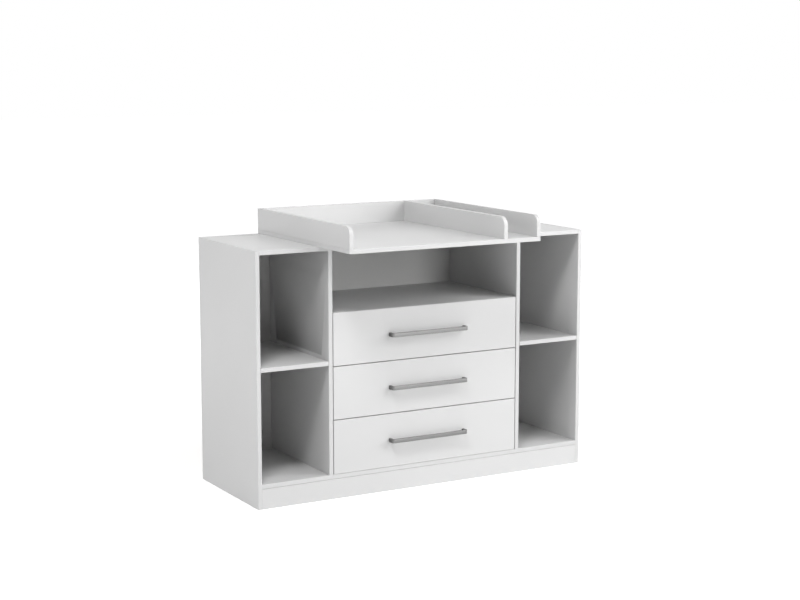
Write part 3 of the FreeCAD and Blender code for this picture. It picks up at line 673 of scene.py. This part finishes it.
# %% [markdown]
# ## Finding the small fittings
# Equal fittings share one node as a group of loose solids, so their places are read from the frame: corners
# that are linked by edges belong to one solid. Each corner starts with its own number and takes the lowest
# number among its neighbours, over and over, until nothing changes. The places could also be typed in, but
# then they would be wrong as soon as the dresser's size changes.

# %% Loose solids of a node
def loose_solids(node):
    """Corner arrays of the separate solids in a node."""
    mesh = merged_copy(node)
    points, (starts, ends) = corner_array(mesh), edge_array(mesh).T
    bpy.data.meshes.remove(mesh)
    label = np.arange(len(points))
    while True:
        before = label.copy()
        lowest = np.minimum(label[starts], label[ends])
        np.minimum.at(label, starts, lowest)
        np.minimum.at(label, ends, lowest)
        label = label[label]
        if (label == before).all():
            break
    return [points[label == number] for number in np.unique(label)]


print(len(loose_solids("shelf_pins")), "shelf pins")


# %% [markdown]
# ## Turned parts
# Dowels, pins and rollers are all turned about an axis, so one function makes their grids from heights along
# the axis and radii about it. The axis is read from the solid in the frame: two of a turned solid's three
# dimensions are its diameter, and the odd one out is its length.

# %% Turned parts
def solid_axis(points):
    """Middle of the near end, unit axis, length and radius of a turned solid.

    The axis is the direction whose two other extents differ least, and the radius is half of such an extent.
    """
    low, high = points.min(axis=0), points.max(axis=0)
    extent = high - low
    spread = [abs(extent[(i + 1) % 3] - extent[(i + 2) % 3]) for i in range(3)]
    number = int(np.argmin(spread))
    start = (low + high) / 2
    start[number] = low[number]
    return start, np.eye(3)[number], extent[number], extent[(number + 1) % 3] / 2


def square_to(axis):
    """Two unit vectors square to a unit axis and to each other: cross products with X, or with Y near X."""
    helper = np.array([1.0, 0, 0]) if abs(axis[0]) < FACING else np.array([0, 1.0, 0])
    side = np.cross(axis, helper)
    return side, np.cross(axis, side)


def turned(start, axis, heights, radii, sides):
    """A grid of corners about an axis: height h and radius r give start + h axis + r (cos, sin) round it.

    Heights and radii have one row for each ring, and may also change round the turn.
    """
    angle = np.arange(sides) * 2 * math.pi / sides
    first, second = square_to(axis)
    spoke = np.cos(angle)[:, None] * first + np.sin(angle)[:, None] * second
    shape = (len(heights), sides)
    rise = np.broadcast_to(np.asarray(heights, float).reshape(len(heights), -1), shape)
    reach = np.broadcast_to(np.asarray(radii, float).reshape(len(heights), -1), shape)
    return start + rise[..., None] * axis + reach[..., None] * spoke


print("a shelf pin is", round(solid_axis(loose_solids("shelf_pins")[0])[2] / MM, 1), "mm long")


# %% [markdown]
# ## Fluted dowels
# A dowel is fluted so that glue and air can escape from its hole, and both ends are chamfered so that it finds
# the hole. The flutes could be cut one by one, but a radius that dips by a fifth of a millimetre between twelve
# ridges gives them in the same grid.

# %% Fluted dowels
FLUTES = 12
FLUTE_STEPS = 6                  # corners from one ridge to the next
FLUTE_DEPTH = 0.2 * MM
DOWEL_CHAMFER = 0.8 * MM


def fluted_dowel(points):
    """Radius R less a flute depth times the square of a half-wave, so that twelve ridges keep the full R."""
    start, axis, length, radius = solid_axis(points)
    sides = FLUTES * FLUTE_STEPS
    wave = np.sin(np.arange(sides) * math.pi * FLUTES / sides) ** 2
    fluted = radius - FLUTE_DEPTH * wave
    tip = np.full(sides, radius - DOWEL_CHAMFER)
    heights = [0, DOWEL_CHAMFER, length - DOWEL_CHAMFER, length]
    return turned(start, axis, heights, np.stack([tip, fluted, fluted, tip]), sides)


for node in ("carcass_dowels", "changing_top_dowels"):
    grids = [fluted_dowel(solid) for solid in loose_solids(node)]
    put_in_place(grid_mesh(node + "_mesh", grids), node, [finishes["beech"]])
    print(node, len(grids))


# %% [markdown]
# ## Shelf pins
# A loose shelf rests on four pegs. Each is turned from steel, with eased ends and a fine groove halfway, where
# it leaves the wall. A plain cylinder would do inside the hole, but the peg's free half shows under the shelf.

# %% Shelf pins
PIN_EASE = 0.4 * MM
PIN_GROOVE = 0.25 * MM
PIN_SIDES = 24


def shelf_pin(points):
    """A peg: its radius less the ease at both ends, and less the groove's depth halfway along."""
    start, axis, length, radius = solid_axis(points)
    neck = length / 2
    heights = [0, PIN_EASE, neck - PIN_EASE, neck - PIN_EASE / 2, neck + PIN_EASE / 2, neck + PIN_EASE,
               length - PIN_EASE, length]
    dips = [PIN_EASE, 0, 0, PIN_GROOVE, PIN_GROOVE, 0, 0, PIN_EASE]
    return turned(start, axis, heights, radius - np.array(dips), PIN_SIDES)


pins = [shelf_pin(solid) for solid in loose_solids("shelf_pins")]
put_in_place(grid_mesh("shelf_pins_mesh", pins), "shelf_pins", [finishes[slots["shelf_pins"]]])
print(len(pins), "shelf pins")


# %% [markdown]
# ## Rollers
# A drawer runs on moulded nylon rollers. Each has a hub round its bore, a thin web and a tyre with rounded
# rims. A disc would do from afar, but the web shows when a drawer is out, so the profile goes all the way
# round: a closed loop that is turned about the bore.

# %% Rollers
BORE = 2.05 * MM                 # radius of the hole
HUB = 3.6 * MM                   # outer radius of the hub
WEB_DIP = 0.9 * MM               # how far the web lies below the faces
TYRE = 2.2 * MM                  # thickness of the tyre
RIM = 0.6 * MM                   # rounding of the tyre's rims
RIM_STEPS = 4
ROLLER_SIDES = 48


def nylon_roller(points):
    """A closed profile turned about the bore: bore, hub, web, tyre with rounded rims, and back."""
    start, axis, width, radius = solid_axis(points)
    turn = np.linspace(0, math.pi / 2, RIM_STEPS + 1)
    radii = [BORE, HUB, HUB, radius - TYRE, radius - TYRE, *(radius - RIM + RIM * np.sin(turn))]
    heights = [0, 0, WEB_DIP, WEB_DIP, 0, *(RIM - RIM * np.cos(turn))]
    radii = radii + radii[::-1]
    heights = heights + [width - h for h in heights[::-1]]
    return turned(start, axis, heights, radii, ROLLER_SIDES)


for level in levels:
    for owner in ("cabinet", "drawer"):
        node = f"{level}_{owner}_rollers"
        grids = [nylon_roller(solid) for solid in loose_solids(node)]
        put_in_place(grid_mesh(node + "_mesh", grids, closed_rows=True), node, [finishes["nylon"]])
print("12 rollers of", round(np.ptp(loose_solids("top_cabinet_rollers")[0][:, 2]) / MM, 1), "mm")


# %% [markdown]
# ## Rails, brackets, strips and fittings
# These keep the frame's own shape, since it is already right: folded sheet, the strip between two panels, cast
# cams with their cross slot, bolts and screws. A narrow bevel on the sharp edges of the folded and extruded
# ones catches the light as a real fold does. Cams, bolts and screws are too small for a bevel to show.

# %% Pieces that keep their shape
SOFTENING = 0.3 * MM
SOFT_STEPS = 2


def kept_shape(node):
    """A piece with the shape of its node and the finish of its material."""
    return put_in_place(merged_copy(node), node, [finishes[slots[node]]])


def soften(piece):
    """Put a narrow bevel on a piece's sharp edges."""
    bevel = piece.modifiers.new("softened edges", "BEVEL")
    bevel.limit_method = "ANGLE"
    bevel.angle_limit = CREASE
    bevel.width = SOFTENING
    bevel.segments = SOFT_STEPS
    bevel.harden_normals = True


for node in ("left_cabinet_rails", "right_cabinet_rails", "wall_brackets", "back_panel_joiners"):
    soften(kept_shape(node))
for level in levels:
    soften(kept_shape(level + "_drawer_rails"))
    kept_shape(level + "_drawer_fittings")
for node in ("carcass_cam_locks", "carcass_cam_bolts", "carcass_screws", "changing_top_screws"):
    kept_shape(node)
left_over = [node for node in nodes if not nodes[node].hide_render]
print("nodes still shown as they are:", left_over)


# %% [markdown]
# ## A floor that stays white
# The photograph's floor and background are one white with hardly a shadow. A bright lamp on a plain floor would
# whiten it, but also light the dresser from below. So the floor is matt paper that glows for the camera and for
# reflections only. The glow is weaker beside the dresser, where a faint shadow is left, and full further out.

# %% Floor
NEAR_GLOW = 0.45                 # beside the dresser, where the floor keeps its shadow
GLOW_RISES, GLOW_FULL = 1, 3.5   # metres from the middle of the floor
PAPER = "#ededed"
FLOOR_HALF = 30.0


def white_floor():
    """Matt white paper, with a glow that only the camera and reflections see, and that is full further out."""
    material = bpy.data.materials.new("white paper floor")
    material.use_nodes = True
    tree = material.node_tree
    tree.nodes.clear()
    rays = add_node(tree, "LightPath")
    seen = add_node(tree, "Math", {"operation": "ADD", "use_clamp": True},
                    links={0: rays.outputs["Is Camera Ray"], 1: rays.outputs["Is Glossy Ray"]})
    place = add_node(tree, "TexCoord").outputs["Object"]
    distance = add_node(tree, "VectorMath", {"operation": "LENGTH"}, links={0: place}).outputs["Value"]
    whiter = add_node(tree, "MapRange", {"interpolation_type": "SMOOTHSTEP"},
                      {"From Min": GLOW_RISES, "From Max": GLOW_FULL, "To Min": NEAR_GLOW, "To Max": 1.0},
                      {"Value": distance})
    glow = add_node(tree, "Math", {"operation": "MULTIPLY"}, links={0: seen.outputs[0], 1: whiter.outputs[0]})
    paper = add_node(tree, "BsdfDiffuse", values={"Color": linear(PAPER)})
    light = add_node(tree, "Emission", links={"Strength": glow.outputs[0]})
    both = add_node(tree, "AddShader", links={0: paper.outputs[0], 1: light.outputs[0]})
    add_node(tree, "OutputMaterial", links={"Surface": both.outputs[0]})
    return material


def flat_floor(half):
    """A square of floor at the height of the dresser's feet."""
    corners = np.array([[-half, -half, 0], [half, -half, 0], [half, half, 0], [-half, half, 0]])
    mesh = bpy.data.meshes.new("floor_mesh")
    mesh.from_pydata(corners.tolist(), [], [(0, 1, 2, 3)])
    mesh.materials.append(white_floor())
    floor = bpy.data.objects.new("floor", mesh)
    bpy.context.scene.collection.objects.link(floor)


flat_floor(FLOOR_HALF)
print("floor of", 2 * FLOOR_HALF, "metres")


# %% [markdown]
# ## White surroundings
# The world works as the floor does: white where it is seen or mirrored, and a weak even fill for everything
# else. A white world that also lit the dresser would leave no shadow in its compartments.

# %% Surroundings
FILL = 0.08


def surroundings(strength):
    """Even light from all around; the camera, gloss and glass see it as white."""
    world = bpy.data.worlds.new("studio")
    bpy.context.scene.world = world
    world.use_nodes = True
    tree = world.node_tree
    rays = add_node(tree, "LightPath")
    seen = add_node(tree, "Math", {"operation": "ADD"},
                    links={0: rays.outputs["Is Camera Ray"], 1: rays.outputs["Is Glossy Ray"]})
    shown = add_node(tree, "Math", {"operation": "ADD", "use_clamp": True},
                     links={0: seen.outputs[0], 1: rays.outputs["Is Transmission Ray"]})
    power = add_node(tree, "MapRange", values={"To Min": strength, "To Max": 1.0},
                     links={"Value": shown.outputs[0]})
    tree.links.new(power.outputs["Result"], tree.nodes["Background"].inputs["Strength"])
    tree.nodes["Background"].inputs["Color"].default_value = (1, 1, 1, 1)


surroundings(FILL)
print("fill light of", FILL)


# %% [markdown]
# ## Seven soft boxes
# The tones of the photograph tell where its light comes from. The fronts are its brightest faces and the left
# side is a step darker, so most light comes from the front and the right. The tower walls carry a slanted
# shadow edge that only a high lamp at the front left casts, and the handles' shadows are faint, so the front
# box is broad. Three more boxes, at the left, above and behind, keep the other sides readable. The levels were
# found by comparing named points of the dresser in the render and in the photograph.

# %% Lamps
MIDDLE = (0.0, 0.0, 0.5)
SOFT_BOX_BOUNCES = 2             # more bounces of light would wash out the dark compartments


def aim(thing, place, target):
    """Put a thing at a place, looking at a target: its tilt is from straight down, its turn from the front."""
    thing.location = place
    look = np.array(target, float) - np.array(place, float)
    thing.rotation_euler = (math.atan2(math.hypot(look[0], look[1]), -look[2]), 0,
                            math.atan2(look[1], look[0]) - math.pi / 2)


def soft_box(name, place, size, level, mirrored=True):
    """A square soft box that looks at the dresser's middle.

    Its power is pi squared times the distance squared for each unit of level, because at a level of one a
    white sheet that faces the lamp renders white. A box that isn't mirrored only lights: a low one would
    otherwise show as a white patch on the top boards, which mirror strongly at a flat angle.
    """
    lamp = bpy.data.lights.new(name, "AREA")
    lamp.size = size
    lamp.energy = level * math.pi ** 2 * math.dist(place, MIDDLE) ** 2
    lamp.cycles.max_bounces = SOFT_BOX_BOUNCES
    thing = bpy.data.objects.new(name, lamp)
    bpy.context.scene.collection.objects.link(thing)
    thing.visible_glossy = mirrored
    aim(thing, place, MIDDLE)


soft_box("low_front", (1.3, -6.0, 1.6), size=2.0, level=0.245)
soft_box("low_right", (5.1, -2.5, 2.1), size=2.2, level=0.31)
soft_box("high_left", (-2.3, -2.3, 4.94), size=1.2, level=0.4)
soft_box("high_right", (3.5, -3.5, 4.5), size=3.0, level=0.35)
soft_box("left_wall", (-6.0, 0.0, 1.5), size=3.0, level=0.235, mirrored=False)
soft_box("ceiling", (0.0, 0.0, 5.0), size=4.0, level=0.12)
soft_box("back_wall", (-0.6, 6.0, 2.2), size=2.5, level=0.38, mirrored=False)


# %% [markdown]
# ## The photograph's view
# The camera stands at the front left, above the dresser. Its place and heading were worked out from the board
# edges in the photograph, whose own camera looks level through a lens shifted downwards. Here the camera tilts
# instead, since a shifted picture would cut the dresser off in other views, and no corner moves by more than
# four pixels for it.

# %% Camera
CAMERA_PLACE = (-3.186, -5.4995, 1.6714)
HEADING, TILT = 29.754, 8.731    # degrees from +Y towards +X, and downwards
LENS = 75.91                     # for a sensor of 36 mm
FAR = 200                        # metres to the far end of what is drawn
camera = bpy.data.objects.new("camera", bpy.data.cameras.new("camera"))
bpy.context.scene.collection.objects.link(camera)
camera.location = CAMERA_PLACE
camera.rotation_euler = (math.radians(90 - TILT), 0, math.radians(-HEADING))
camera.data.lens = LENS
camera.data.clip_end = FAR
bpy.context.scene.camera = camera
bpy.context.scene.view_settings.view_transform = "Standard"
print("camera at", CAMERA_PLACE)
